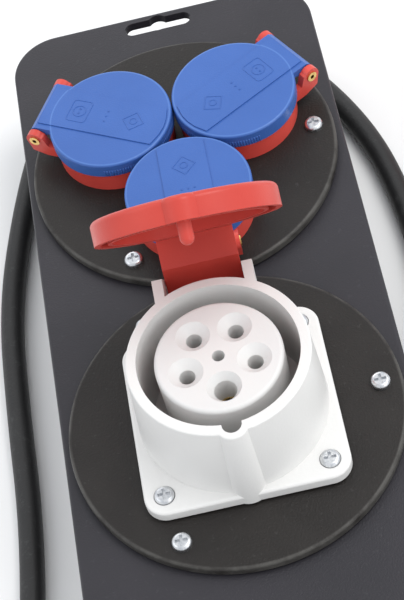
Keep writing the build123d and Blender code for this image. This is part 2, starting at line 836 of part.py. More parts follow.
with BuildPart() as flange_screws:
    head_seat = flange_top - flange_screw_sink
    with BuildSketch(face.offset(head_seat)):
        with GridLocations(flange_hole_spacing, flange_hole_spacing, 2, 2):
            Circle(screw_head_radius)
    extrude(amount=screw_head_height)
    fillet(flange_screws.faces().group_by(Axis.Z)[-1].edges(), screw_head_height * 0.6)
    with BuildSketch(face.offset(head_seat)):
        with GridLocations(flange_hole_spacing, flange_hole_spacing, 2, 2):
            Circle(screw_shank_radius)
    extrude(amount=-flange_screw_length)
    with BuildSketch(face.offset(head_seat + screw_head_height)):
        with GridLocations(flange_hole_spacing, flange_hole_spacing, 2, 2):
            Rectangle(screw_head_radius * 1.2, screw_cross_width)
            Rectangle(screw_cross_width, screw_head_radius * 1.2)
    extrude(amount=-screw_cross_depth, mode=Mode.SUBTRACT)
save(flange_screws.part, "flange_screws")

# The lid is drawn closed over the collar, in a frame at its pivot that is turned to where the lid stands open.
tip = math.radians(open_angle)
swung = Plane(pivot, x_dir=(1, 0, 0), z_dir=(0, math.sin(tip), math.cos(tip)))
side_view = Plane(pivot, x_dir=swung.y_dir, z_dir=(1, 0, 0))
rim = collar_top + cap_gap - pivot_up
with BuildPart() as five_pole_lid:
    with BuildSketch(swung.offset(rim)):
        with Locations((0, -pivot_out)):
            Circle(cap_radius)
        with Locations((0, -pivot_out - cap_lug_out)):
            Circle(cap_lug_radius)
    extrude(amount=cap_height)
    outer_face = five_pole_lid.faces().sort_by(Axis(pivot, swung.z_dir))[-1]
    fillet(outer_face.edges(), cap_edge)
    # neck over the collar's edge, its fold and the barrel on the pin
    with BuildSketch(side_view):
        with BuildLine():
            inner_y = cap_radius + neck_gap - pivot_out
            outer_y = inner_y + neck_thickness
            fold_z = rim - neck_fold_drop
            Polyline(
                (inner_y - neck_gap - cap_wall, rim),
                (inner_y, rim),
                (inner_y, fold_z),
                (-pivot_barrel_radius * 0.7, -pivot_barrel_radius * 0.7),
                (pivot_barrel_radius * 0.7, pivot_barrel_radius * 0.7),
                (outer_y, fold_z + neck_thickness / 2),
                (outer_y, rim + cap_height - cap_edge),
                (outer_y - cap_edge, rim + cap_height),
                (inner_y - neck_gap - cap_wall, rim + cap_height),
                close=True,
            )
        make_face()
        Circle(pivot_barrel_radius)
    extrude(amount=neck_half_width, both=True)
    # hollow of the cap, with the ring that holds the seal
    with BuildSketch(swung.offset(rim)):
        with Locations((0, -pivot_out)):
            Circle(cap_radius - cap_wall)
            Circle(cap_ring_radius, mode=Mode.SUBTRACT)
            Circle(cap_ring_radius - cap_ring_wall)
    extrude(amount=cap_ring_height, mode=Mode.SUBTRACT)
    # round-ended peg that drops into the keyway when the lid is shut
    peg_end = rim - peg_length + peg_radius
    with BuildSketch(swung.offset(peg_end)):
        with Locations((0, -pivot_out - key_out)):
            Circle(peg_radius)
    extrude(amount=rim + cap_wall - peg_end)
    with Locations(swung.from_local_coords((0, -pivot_out - key_out, peg_end))):
        Sphere(peg_radius)
    with BuildSketch(Plane(pivot, x_dir=(0, 1, 0), z_dir=(1, 0, 0))):
        Circle(big_pin_radius + hinge_running_gap)
    extrude(amount=neck_half_width, both=True, mode=Mode.SUBTRACT)
save(five_pole_lid.part, "five_pole_lid")

with BuildPart() as five_pole_lid_seal:
    with BuildSketch(swung.offset(rim + cap_ring_height)):
        with Locations((0, -pivot_out)):
            Circle(cap_seal_outer)
            Circle(cap_seal_inner, mode=Mode.SUBTRACT)
    extrude(amount=-cap_seal_thickness)
save(five_pole_lid_seal.part, "five_pole_lid_seal")

with BuildPart() as five_pole_hinge_pin:
    with BuildSketch(Plane(pivot, x_dir=(0, 1, 0), z_dir=(1, 0, 0))):
        Circle(big_pin_radius)
    extrude(amount=big_ear_inner + big_ear_thickness, both=True)
save(five_pole_hinge_pin.part, "five_pole_hinge_pin")

# ---------------------------------------------------------------- gland, cable and plug
foot_end = Plane((0, tray_low_y, gland_height), x_dir=(1, 0, 0), z_dir=(0, -1, 0))
with BuildPart() as gland_body:
    with BuildSketch(foot_end):
        RegularPolygon(gland_hex_radius, 6)
    extrude(amount=gland_hex_length)
    with BuildSketch(foot_end):
        Circle(gland_wall_hole - thread_clearance)
    extrude(amount=-gland_inner_length)
    with BuildSketch(foot_end):
        Circle(gland_bore)
    extrude(amount=gland_hex_length + gland_inner_length, both=True, mode=Mode.SUBTRACT)
save(gland_body.part, "gland_body")

with BuildPart() as gland_locknut:
    with BuildSketch(foot_end.offset(-tray_wall)):
        RegularPolygon(locknut_radius, 6)
        Circle(gland_wall_hole, mode=Mode.SUBTRACT)
    extrude(amount=-locknut_length)
save(gland_locknut.part, "gland_locknut")

with BuildPart() as gland_nut:
    with BuildSketch(foot_end.offset(gland_hex_length)):
        Circle(gland_nut_radius)
    extrude(amount=gland_nut_length)
    fillet(gland_nut.faces().sort_by(Axis.Y)[0].edges(), 1.5)
    with BuildSketch(foot_end.offset(gland_hex_length)):
        Circle(gland_seal_radius + thread_clearance)
    extrude(amount=gland_nut_length, mode=Mode.SUBTRACT)
save(gland_nut.part, "gland_nut")

with BuildPart() as gland_seal:
    with BuildSketch(foot_end.offset(gland_hex_length)):
        Circle(gland_seal_radius)
        Circle(guard_bore, mode=Mode.SUBTRACT)
    extrude(amount=gland_seal_length)
save(gland_seal.part, "gland_seal")

# tapered guard that keeps the cable from kinking where it leaves the gland
guard_start = gland_hex_length + gland_seal_length
guard_end = gland_hex_length + gland_nut_length + guard_length
with BuildPart() as bend_guard:
    with BuildSketch(foot_end.offset(guard_start)):
        Circle(gland_seal_radius)
    extrude(amount=gland_nut_length - gland_seal_length)
    with BuildSketch(foot_end.offset(guard_end - guard_length)):
        Circle(guard_root_radius)
    with BuildSketch(foot_end.offset(guard_end)):
        Circle(guard_tip_radius)
    loft()
    with BuildSketch(foot_end.offset(guard_start)):
        Circle(guard_bore)
    extrude(amount=guard_end, mode=Mode.SUBTRACT)
save(bend_guard.part, "bend_guard")

# The plug lies on the rear edge of its grip and on its flange, so its axis rises towards the pins.
plug_contact = plug_nut_length
plug_flange_at = plug_nut_length + plug_grip_length
plug_tilt = math.atan((plug_flange_radius - plug_grip_rear_radius) / (plug_flange_at - plug_contact))
plug_rear_z = plug_grip_rear_radius * math.cos(plug_tilt) - plug_contact * math.sin(plug_tilt)
plug_axis = (0, math.cos(plug_tilt), math.sin(plug_tilt))
plug_rear = Plane((plug_x, plug_y, plug_rear_z), x_dir=(1, 0, 0), z_dir=plug_axis)
plug_front = plug_flange_at + plug_flange_length

with BuildPart() as plug_nut:
    with BuildSketch(plug_rear):
        Circle(plug_nut_radius)
        Circle(guard_bore, mode=Mode.SUBTRACT)
    extrude(amount=plug_nut_length)
save(plug_nut.part, "plug_nut")

with BuildPart() as plug_grip:
    with BuildSketch(plug_rear.offset(plug_nut_length)):
        Circle(plug_grip_rear_radius)
    with BuildSketch(plug_rear.offset(plug_flange_at)):
        Circle(plug_grip_front_radius)
    loft()
save(plug_grip.part, "plug_grip")

with BuildPart() as plug_head:
    with BuildSketch(plug_rear.offset(plug_flange_at)):
        Circle(plug_flange_radius)
    extrude(amount=plug_flange_length)
    with BuildSketch(plug_rear.offset(plug_front)):
        Circle(shroud_radius)
        with Locations((0, shroud_radius - 0.8)):
            Circle(plug_key_radius)
    extrude(amount=shroud_length)
    with BuildSketch(plug_rear.offset(plug_front + shroud_length)):
        Circle(shroud_bore)
    extrude(amount=shroud_floor - shroud_length, mode=Mode.SUBTRACT)
    with BuildSketch(plug_rear.offset(plug_front + shroud_floor)):
        for turn, contact_angle in enumerate(contact_angles):
            pin = plug_pin_radius if turn else plug_earth_pin_radius
            with PolarLocations(contact_circle, 1, start_angle=-contact_angle):
                Circle(pin - plug_pin_neck + thread_clearance)
    extrude(amount=-plug_pin_root, mode=Mode.SUBTRACT)
save(plug_head.part, "plug_head")

with BuildPart() as plug_pins:
    for waist, length in ((0, plug_pin_length), (plug_pin_neck, -plug_pin_root)):
        with BuildSketch(plug_rear.offset(plug_front + shroud_floor)):
            for turn, contact_angle in enumerate(contact_angles):
                pin = plug_pin_radius if turn else plug_earth_pin_radius
                with PolarLocations(contact_circle, 1, start_angle=-contact_angle):
                    Circle(pin - waist)
        extrude(amount=length)
save(plug_pins.part, "plug_pins")


def rounded_path(points):
    """Line of straight runs with an arc at each corner, as large as the two runs beside it allow."""
    radii = []
    for before, corner, after in zip(points, points[1:], points[2:]):
        turn = (corner - before).get_angle(after - corner)
        shorter = min((corner - before).length, (after - corner).length)
        radii.append(0.45 * shorter / math.tan(math.radians(turn / 2)))
    print("cable arc radii", [round(radius) for radius in radii])
    return FilletPolyline(*points, radius=radii)


# Out of the gland and down to the floor, round to the left side, up past the slot end and down the right.
cable_route = [
    Vector(0, -170, gland_height),
    Vector(0, -206, gland_height),
    Vector(-10.2, -243.4, 17),
    Vector(-41, -261.2, 8),
    Vector(-76, -255, cable_radius),
    Vector(-98.9, -227.8, cable_radius),
    Vector(-100.2, -196.5, cable_radius),
    Vector(-98, -164, cable_radius),
    Vector(-94, -112, cable_radius),
    Vector(-89.2, -60, cable_radius),
    Vector(-89.4, -6, cable_radius),
    Vector(-87.8, 46, cable_radius),
    Vector(-76.5, 98, cable_radius),
    Vector(-62, 142, cable_radius),
    Vector(-28, 164, cable_radius),
    Vector(18, 165, cable_radius),
    Vector(54, 147, cable_radius),
    Vector(70, 119, cable_radius),
    Vector(81, 88, cable_radius),
    Vector(85.5, 56, cable_radius),
    Vector(87, 20, cable_radius),
    Vector(85, -14, cable_radius + tie_thickness),
    Vector(84.6, -32, cable_radius + tie_thickness),
]
coil_top = tie_thickness + tie_gap + coil_height
plug_route = [
    Vector(190, -50, coil_top - cable_radius),
    Vector(181, -19, coil_top - cable_radius),
    plug_rear.origin - plug_rear.z_dir * plug_lead,
    plug_rear.origin + plug_rear.z_dir * plug_nut_length,
]
with BuildPart() as supply_cable:
    with BuildSketch(foot_end.offset(gland_hex_length)):
        Circle(cable_radius)
    extrude(amount=tray_low_y - gland_hex_length - cable_route[0].Y)
    for route in (cable_route, plug_route):
        with BuildLine() as centre_line:
            rounded_path(route)
        with BuildSketch(Plane(centre_line.line @ 0, z_dir=centre_line.line % 0)):
            Circle(cable_radius)
        sweep(path=centre_line.line)
        print("cable run length", round(centre_line.wire().length, 1))
print("cable volume over its section", round(supply_cable.part.volume / (math.pi * cable_radius**2), 1))
save(supply_cable.part, "supply_cable")

with BuildPart() as supply_cable_coil:
    coil_base = Plane((coil_x, coil_y, tie_thickness + tie_gap))
    with BuildSketch(coil_base):
        Circle(coil_ring_radius + coil_band / 2)
        Circle(coil_ring_radius - coil_band / 2, mode=Mode.SUBTRACT)
    extrude(amount=coil_height)
    fillet(supply_cable_coil.edges().filter_by(GeomType.CIRCLE), coil_corner)
save(supply_cable_coil.part, "supply_cable_coil")

with BuildPart() as coil_tie:
    tie_plane = Plane((coil_x, coil_y - coil_ring_radius, coil_height / 2 + tie_thickness + tie_gap),
                      x_dir=(0, 1, 0), z_dir=(1, 0, 0))
    with BuildSketch(tie_plane):
        RectangleRounded(coil_band + 2 * tie_thickness + 1.6, coil_height + 2 * tie_thickness + tie_gap, 3.5)
        RectangleRounded(coil_band + 1.6, coil_height + tie_gap, 2.8, mode=Mode.SUBTRACT)
    extrude(amount=tie_width / 2, both=True)
save(coil_tie.part, "coil_tie")

# ---------------------------------------------------------------- inside the tray
block_base = Plane((0, block_y, floor_top))
block_xs = [(pole - (block_poles - 1) / 2) * block_pitch for pole in range(block_poles)]
with BuildPart() as terminal_block:
    with BuildSketch(block_base):
        Rectangle(block_length, block_width)
    extrude(amount=block_height)
    chamfer(terminal_block.faces().sort_by(Axis.Z)[-1].edges(), 1)
    with BuildSketch(block_base.offset(block_height)):
        with Locations(*[(x, y) for x in block_xs for y in (-block_width / 4, block_width / 4)]):
            Circle(block_screw_radius + thread_clearance)
    extrude(amount=-block_screw_sink - block_screw_length, mode=Mode.SUBTRACT)
save(terminal_block.part, "terminal_block")

with BuildPart() as terminal_screws:
    with BuildSketch(block_base.offset(block_height - block_screw_sink)):
        with Locations(*[(x, y) for x in block_xs for y in (-block_width / 4, block_width / 4)]):
            Circle(block_screw_radius)
    extrude(amount=-block_screw_length)
    with BuildSketch(block_base.offset(block_height - block_screw_sink)):
        with Locations(*[(x, y) for x in block_xs for y in (-block_width / 4, block_width / 4)]):
            Rectangle(2 * block_screw_radius, 0.8)
    extrude(amount=-0.8, mode=Mode.SUBTRACT)
save(terminal_screws.part, "terminal_screws")

# one lead from each pole of the block to a contact of the five-pole socket
lead_height = floor_top + block_height / 2
contact_order = [4, 3, 0, 2, 1]
with BuildPart() as five_pole_leads:
    for x, turn in zip(block_xs, contact_order):
        contact_angle = math.radians(contact_angles[turn])
        contact = Vector(
            contact_circle * math.cos(contact_angle),
            lower_y + contact_circle * math.sin(contact_angle),
            seat - contact_sleeve_back,
        )
        with BuildLine() as lead_line:
            Spline(
                contact,
                Vector(x, block_y - block_width / 2, lead_height),
                tangents=[(0, 0, -1), (0, 1, 0)],
                tangent_scalars=[0.6, 0.6],
            )
        with BuildSketch(Plane(lead_line.line @ 0, z_dir=lead_line.line % 0)):
            Circle(lead_radius)
        sweep(path=lead_line.line)
save(five_pole_leads.part, "five_pole_leads")

# a sheathed lead from the block to the rear of each mains socket
with BuildPart() as socket_leads:
    for (socket_x, socket_y), start_x in zip(socket_places, (-20, 20, 0)):
        with BuildLine() as lead_line:
            Spline(
                Vector(socket_x, socket_y, seat - tail_depth + tail_lip),
                Vector(start_x, block_y + block_width / 2, lead_height),
                tangents=[(0, 0, -1), (0, -1, 0)],
                tangent_scalars=[0.6, 0.6],
            )
        with BuildSketch(Plane(lead_line.line @ 0, z_dir=lead_line.line % 0)):
            Circle(jacket_radius)
        sweep(path=lead_line.line)
save(socket_leads.part, "socket_leads")

# the supply cable goes on inside, under the clamp and beside the five-pole socket, to the block
inner_route = [
    Vector(0, tray_low_y - gland_hex_length, gland_height),
    Vector(0, clamp_y + 22, gland_height),
    Vector(17, clamp_y + 43, 17),
    Vector(40, lower_y - 2, 14),
    Vector(47, lower_y + 24, 14),
    Vector(45, block_y - 6, lead_height),
    Vector(26, block_y + 3, lead_height),
]
with BuildPart() as inner_cable:
    with BuildLine() as centre_line:
        rounded_path(inner_route)
    with BuildSketch(Plane(centre_line.line @ 0, z_dir=centre_line.line % 0)):
        Circle(cable_radius)
    sweep(path=centre_line.line)
    with BuildSketch(block_base):
        Rectangle(block_length, block_width)
    extrude(amount=block_height, mode=Mode.SUBTRACT)
save(inner_cable.part, "inner_cable")

# two-part saddle clamp round the straight stretch behind the gland
clamp_base = Plane((0, clamp_y, floor_top))
split_height = gland_height - floor_top
with BuildPart() as cable_clamp:
    with BuildSketch(clamp_base):
        Rectangle(clamp_length, clamp_width)
    extrude(amount=split_height - clamp_split_gap)
    with BuildSketch(clamp_base.offset(split_height + clamp_split_gap)):
        Rectangle(clamp_length, clamp_width)
    extrude(amount=clamp_bridge)
    with BuildSketch(Plane((0, clamp_y, gland_height), x_dir=(1, 0, 0), z_dir=(0, 1, 0))):
        Circle(cable_radius + thread_clearance)
    extrude(amount=clamp_width, both=True, mode=Mode.SUBTRACT)
    with BuildSketch(clamp_base.offset(split_height + clamp_split_gap + clamp_bridge)):
        with GridLocations(clamp_screw_spacing, 1, 2, 1):
            Circle(clamp_screw_radius + thread_clearance)
    extrude(amount=-clamp_screw_length, mode=Mode.SUBTRACT)
save(cable_clamp.part, "cable_clamp")

with BuildPart() as clamp_screws:
    with BuildSketch(clamp_base.offset(split_height + clamp_split_gap + clamp_bridge)):
        with GridLocations(clamp_screw_spacing, 1, 2, 1):
            Circle(2 * clamp_screw_radius)
    extrude(amount=clamp_screw_radius)
    with BuildSketch(clamp_base.offset(split_height + clamp_split_gap + clamp_bridge)):
        with GridLocations(clamp_screw_spacing, 1, 2, 1):
            Circle(clamp_screw_radius)
    extrude(amount=-clamp_screw_length + 1)
save(clamp_screws.part, "clamp_screws")
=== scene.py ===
import json
import math
import bmesh
import bpy
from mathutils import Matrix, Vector


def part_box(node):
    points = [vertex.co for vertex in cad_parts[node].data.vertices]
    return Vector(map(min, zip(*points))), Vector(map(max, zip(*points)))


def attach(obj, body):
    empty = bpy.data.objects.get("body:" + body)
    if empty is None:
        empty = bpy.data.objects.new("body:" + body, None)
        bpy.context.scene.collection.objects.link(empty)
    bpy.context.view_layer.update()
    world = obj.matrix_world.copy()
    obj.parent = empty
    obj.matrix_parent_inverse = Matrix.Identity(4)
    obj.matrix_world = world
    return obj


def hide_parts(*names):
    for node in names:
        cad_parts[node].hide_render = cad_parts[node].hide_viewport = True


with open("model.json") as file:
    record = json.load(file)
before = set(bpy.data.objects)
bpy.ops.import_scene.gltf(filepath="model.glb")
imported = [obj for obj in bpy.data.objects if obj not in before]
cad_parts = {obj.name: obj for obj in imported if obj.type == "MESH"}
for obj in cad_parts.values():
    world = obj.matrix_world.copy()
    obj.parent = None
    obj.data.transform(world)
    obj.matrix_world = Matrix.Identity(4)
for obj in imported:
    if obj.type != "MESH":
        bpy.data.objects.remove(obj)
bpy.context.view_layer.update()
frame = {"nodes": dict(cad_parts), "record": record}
print("stage: frame loaded")

mm = 0.001


# shader graph helpers

class Value:
    # a node's output that can be used in sums; each operator adds a Math node
    def __init__(self, graph, socket):
        self.graph = graph
        self.socket = socket

    def maths(self, operation, *others):
        inputs = {0: self}
        for place, other in enumerate(others):
            inputs[place + 1] = other
        return self.graph.add("ShaderNodeMath", {"operation": operation}, inputs)

    def reflected(self, operation, other):
        return self.graph.add("ShaderNodeMath", {"operation": operation}, {0: other, 1: self})

    def __add__(self, other):
        return self.maths("ADD", other)

    def __sub__(self, other):
        return self.maths("SUBTRACT", other)

    def __mul__(self, other):
        return self.maths("MULTIPLY", other)

    def __truediv__(self, other):
        return self.maths("DIVIDE", other)

    def __pow__(self, other):
        return self.maths("POWER", other)

    def __rsub__(self, other):
        return self.reflected("SUBTRACT", other)

    def __rtruediv__(self, other):
        return self.reflected("DIVIDE", other)

    __radd__ = __add__
    __rmul__ = __mul__

    def __neg__(self):
        return self.maths("MULTIPLY", -1.0)

    def __abs__(self):
        return self.maths("ABSOLUTE")

    def above(self, limit, soft=0.0):
        # 0 below the limit, 1 above it, with a soft step between
        if soft == 0.0:
            return self.maths("GREATER_THAN", limit)
        ramp = self.graph.add(
            "ShaderNodeMapRange",
            {"interpolation_type": "SMOOTHSTEP"},
            {"Value": self, "From Min": limit - soft, "From Max": limit + soft},
        )
        return ramp

    def band(self, middle, halfWidth, soft):
        # 1 within halfWidth of middle, 0 outside
        return 1 - abs(self - middle).above(halfWidth, soft)


class Finish:
    # one material: its graph, its shader and what feeds it
    def __init__(self, name, **constants):
        self.material = bpy.data.materials.new(name)
        self.material.use_nodes = True
        self.tree = self.material.node_tree
        self.tree.nodes.clear()
        self.shader = self.tree.nodes.new("ShaderNodeBsdfPrincipled")
        out = self.tree.nodes.new("ShaderNodeOutputMaterial")
        self.tree.links.new(self.shader.outputs[0], out.inputs[0])
        for socketName, value in constants.items():
            self.feed(socketName.replace("_", " "), value)
        self.place = self.add("ShaderNodeTexCoord", output="Object")

    def add(self, kind, settings=None, inputs=None, output=0):
        node = self.tree.nodes.new(kind)
        for key, value in (settings or {}).items():
            setattr(node, key, value)
        for key, value in (inputs or {}).items():
            if isinstance(value, Value):
                self.tree.links.new(value.socket, node.inputs[key])
            else:
                node.inputs[key].default_value = value
        return Value(self, node.outputs[output])

    def feed(self, socketName, value):
        socket = self.shader.inputs[socketName]
        if isinstance(value, Value):
            self.tree.links.new(value.socket, socket)
        else:
            socket.default_value = value

    def noise(self, size, detail=3.0, rough=0.5, stretch=(1, 1, 1), shift=0.0):
        # size is the size of one blotch in metres
        spot = self.add(
            "ShaderNodeMapping", {},
            {0: self.place, 1: (shift, shift, shift), 3: tuple(1 / (size * s) for s in stretch)}
        )
        inputs = {"Vector": spot, "Scale": 1.0, "Detail": detail, "Roughness": rough}
        return self.add("ShaderNodeTexNoise", {}, inputs)

    def axis(self, letter):
        return self.add("ShaderNodeSeparateXYZ", {}, {0: self.place}, "XYZ".index(letter))

    def distanceFrom(self, centre):
        # distance in the plane z = 0 from a point given as x, y
        x = self.axis("X") - centre[0]
        y = self.axis("Y") - centre[1]
        return (x * x + y * y).maths("SQRT")

    def mix(self, factor, first, second):
        settings = {"data_type": "RGBA"}
        return self.add("ShaderNodeMix", settings, {0: factor, 6: first, 7: second}, 2)

    def bump(self, height, distance, strength=1.0):
        inputs = {"Height": height, "Distance": distance, "Strength": strength}
        normal = self.add("ShaderNodeBump", {}, inputs)
        self.feed("Normal", normal)


# finishes
def mouldedPlastic(name, look):
    # plain moulded plastic: soft colour drift, fine grain, a few dull specks
    finish = Finish(name, IOR=1.46, Specular_IOR_Level=look.get("specular", 0.35))
    drift = finish.noise(look.get("drift", 0.03), 4.0)
    grain = finish.noise(look["grain"], 2.0, 0.6)
    colour = finish.mix(drift.above(0.5, 0.25), look["colour"], look["shade"])
    speck = finish.noise(look["grain"] * 3, 2.0, 0.7, shift=3.1).above(0.68, 0.05) * look.get("specks", 0.0)
    finish.feed("Base Color", finish.mix(speck, colour, look.get("dust", (0.5, 0.5, 0.5, 1))))
    finish.feed("Roughness", look["rough"] + (grain - 0.5) * 0.12 + (drift - 0.5) * look.get("patchy", 0.1))
    finish.bump(grain, look["grainDepth"])
    return finish


plateLook = {
    "colour": (0.030, 0.028, 0.034, 1), "shade": (0.024, 0.023, 0.028, 1), "dust": (0.11, 0.11, 0.12, 1),
    "specks": 0.1, "rough": 0.40, "patchy": 0.16, "grain": 0.0007, "grainDepth": 0.00012, "drift": 0.05,
}
# the rim colour and the radius it starts from paint a highlight on the disc edges
discLook = {
    "colour": (0.0115, 0.0095, 0.0085, 1), "shade": (0.017, 0.0145, 0.013, 1), "dust": (0.09, 0.09, 0.085, 1),
    "rim": (0.07, 0.067, 0.062, 1), "specks": 0.18, "rough": 0.46, "patchy": 0.2, "grain": 0.0008,
    "grainDepth": 0.00016, "drift": 0.02, "rimFrom": 61.4,
}
# the edge colour and its radius paint a pale highlight along the top rim of each lid
blueLook = {
    "colour": (0.046, 0.125, 0.405, 1), "shade": (0.040, 0.112, 0.37, 1), "edge": (0.17, 0.33, 0.70, 1),
    "rough": 0.36, "patchy": 0.06, "grain": 0.0006, "grainDepth": 0.00006, "rimFrom": 24.55,
}
redLook = {
    "colour": (0.56, 0.062, 0.045, 1), "shade": (0.50, 0.050, 0.038, 1), "rough": 0.34, "patchy": 0.08,
    "grain": 0.0009, "grainDepth": 0.00005,
}
greyLook = {
    "colour": (0.76, 0.755, 0.74, 1), "shade": (0.73, 0.725, 0.71, 1), "rough": 0.36, "patchy": 0.08,
    "grain": 0.0011, "grainDepth": 0.00005,
}


def discCentres():
    low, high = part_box("upper_disc")
    upper = (low + high) / 2
    low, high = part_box("lower_disc")
    lower = (low + high) / 2
    return upper, lower


upperCentre, lowerCentre = discCentres()
socketTurns = {"left": 150, "right": 30, "lower": 270}
socketCircle = 29.5 * mm
socketCentres = {
    side: Vector((upperCentre.x + socketCircle * math.cos(math.radians(turn)),
                  upperCentre.y + socketCircle * math.sin(math.radians(turn)), 0))
    for side, turn in socketTurns.items()
}
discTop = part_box("upper_disc")[1].z


def discPlastic():
    finish = mouldedPlastic("discPlastic", discLook)
    colour = Value(finish, finish.shader.inputs["Base Color"].links[0].from_socket)
    # painted highlight: from the start radius outwards the disc edges are lightened in patches, where the rounded
    # rim would catch the light
    nearest = finish.distanceFrom(upperCentre).maths("MINIMUM", finish.distanceFrom(lowerCentre))
    rim = nearest.above(discLook["rimFrom"] * mm, 0.5 * mm)
    highlightPatch = finish.noise(0.012, 3.0, 0.6, shift=7.7).above(0.45, 0.2)
    finish.feed("Base Color", finish.mix(rim * highlightPatch, colour, discLook["rim"]))
    return finish


def bluePlastic():
    finish = mouldedPlastic("bluePlastic", blueLook)
    colour = Value(finish, finish.shader.inputs["Base Color"].links[0].from_socket)
    # painted highlight: a pale line on the top face along each lid's rim, mixed in at 0.3
    distances = [finish.distanceFrom(centre) for centre in socketCentres.values()]
    nearest = distances[0].maths("MINIMUM", distances[1]).maths("MINIMUM", distances[2])
    high = finish.axis("Z").above(discTop + 14.9 * mm, 0.4 * mm)
    edge = nearest.band(blueLook["rimFrom"] * mm, 0.25 * mm, 0.3 * mm) * high
    finish.feed("Base Color", finish.mix(edge * 0.3, colour, blueLook["edge"]))
    return finish


def metal(name, colour, shade, rough, size):
    # plated or bare metal with uneven brightness and fine scratches
    finish = Finish(name, Metallic=1.0)
    cloud = finish.noise(size, 4.0, 0.6)
    scratch = finish.noise(size * 0.6, 2.0, 0.5, (1, 8, 1), 2.0)
    finish.feed("Base Color", finish.mix(cloud.above(0.5, 0.2), colour, shade))
    finish.feed("Roughness", rough + (cloud - 0.5) * 0.3 + (scratch - 0.5) * 0.2)
    finish.bump(scratch, 0.00003)
    return finish


def cableRubber():
    finish = Finish("cableRubber", IOR=1.5, Specular_IOR_Level=0.45)
    cloud = finish.noise(0.02, 4.0, 0.6)
    fine = finish.noise(0.0009, 2.0, 0.6)
    dust = finish.noise(0.004, 4.0, 0.75, shift=5.0).above(0.62, 0.08)
    dark = finish.mix(cloud.above(0.5, 0.25), (0.0105, 0.0105, 0.011, 1), (0.016, 0.016, 0.0165, 1))
    finish.feed("Base Color", finish.mix(dust * 0.35, dark, (0.06, 0.06, 0.06, 1)))
    finish.feed("Roughness", 0.5 + (cloud - 0.5) * 0.2 + (fine - 0.5) * 0.15)
    finish.bump(fine, 0.0001)
    return finish


blackLook = {
    "colour": (0.014, 0.014, 0.015, 1), "shade": (0.020, 0.020, 0.020, 1), "rough": 0.5, "grain": 0.0008,
    "grainDepth": 0.00008, "specks": 0.3, "dust": (0.08, 0.08, 0.08, 1),
}
sealLook = dict(blackLook, rough=0.7, grain=0.0005)
gripLook = dict(greyLook, colour=(0.56, 0.56, 0.55, 1), shade=(0.50, 0.50, 0.49, 1), rough=0.45)
blockLook = dict(greyLook, colour=(0.72, 0.70, 0.62, 1), shade=(0.66, 0.63, 0.55, 1), rough=0.5)
leadLook = dict(greyLook, colour=(0.24, 0.24, 0.25, 1), shade=(0.20, 0.20, 0.21, 1), rough=0.55)

finishes = {
    "plate_plastic": mouldedPlastic("platePlastic", plateLook),
    "disc_plastic": discPlastic(),
    "socket_red": mouldedPlastic("socketRed", dict(redLook, colour=(0.72, 0.085, 0.065, 1))),
    "lid_blue": bluePlastic(),
    "collar_grey": mouldedPlastic("collarGrey", greyLook),
    "contact_grey": mouldedPlastic("contactGrey", dict(greyLook, colour=(0.70, 0.70, 0.695, 1))),
    "lid_red": mouldedPlastic("lidRed", redLook),
    "carrier_black": mouldedPlastic("carrierBlack", blackLook),
    "cable_rubber": cableRubber(),
    "soft_rubber": mouldedPlastic("softRubber", sealLook),
    "zinc_steel": metal("zincSteel", (0.74, 0.75, 0.76, 1), (0.52, 0.54, 0.57, 1), 0.32, 0.0016),
    "spring_steel": metal("springSteel", (0.6, 0.6, 0.6, 1), (0.45, 0.45, 0.45, 1), 0.3, 0.002),
    "contact_brass": metal("contactBrass", (0.80, 0.58, 0.22, 1), (0.62, 0.40, 0.14, 1), 0.28, 0.0015),
    "gland_plastic": mouldedPlastic("glandPlastic", blackLook),
    "plug_red": mouldedPlastic("plugRed", redLook),
    "plug_grey": mouldedPlastic("plugGrey", gripLook),
    "block_white": mouldedPlastic("blockNylon", blockLook),
    "lead_sheath": mouldedPlastic("leadSheath", leadLook),
}
nodeSlots = {entry["node"]: entry["material_slot"] for entry in frame["record"]["subparts"]}


def findNode(name):
    node = frame["nodes"][name]
    return bpy.data.objects[node] if isinstance(node, str) else node


for nodeName, slotName in nodeSlots.items():
    cadPiece = findNode(nodeName)
    for materialSlot in cadPiece.material_slots:
        materialSlot.material = finishes[slotName].material
print("stage: finishes made")


# camera, floor and light

cameraLook = {
    "place": (25.58, -413.87, 613.65), "turn": (34.948, 9.477, -9.078), "lens": 107.9, "sensor": 36.0,
}
cameraData = bpy.data.cameras.new("camera")
cameraData.lens = cameraLook["lens"]
cameraData.sensor_width = cameraLook["sensor"]
cameraData.clip_start = 0.01
camera = bpy.data.objects.new("camera", cameraData)
camera.location = Vector(cameraLook["place"]) * mm
camera.rotation_euler = [math.radians(angle) for angle in cameraLook["turn"]]
bpy.context.scene.collection.objects.link(camera)
bpy.context.scene.camera = camera

studio = {
    "floorSize": 8.0, "floor": (0.86, 0.86, 0.86, 1), "world": (0.95, 0.97, 1.0, 1), "worldStrength": 0.98,
    "lights": [
        ("key", (0.8, 0.1, 1.5), 1.0, 11.5, (1.0, 0.99, 0.97)),
        ("fill", (-1.2, 0.1, 1.2), 1.2, 3.5, (0.97, 0.98, 1.0)),
        ("front", (1.2, -1.1, 0.9), 0.9, 5.0, (1.0, 0.99, 0.98)),
        ("back", (-0.3, 1.5, 1.0), 1.0, 3.5, (1.0, 1.0, 1.0)),
    ],
}


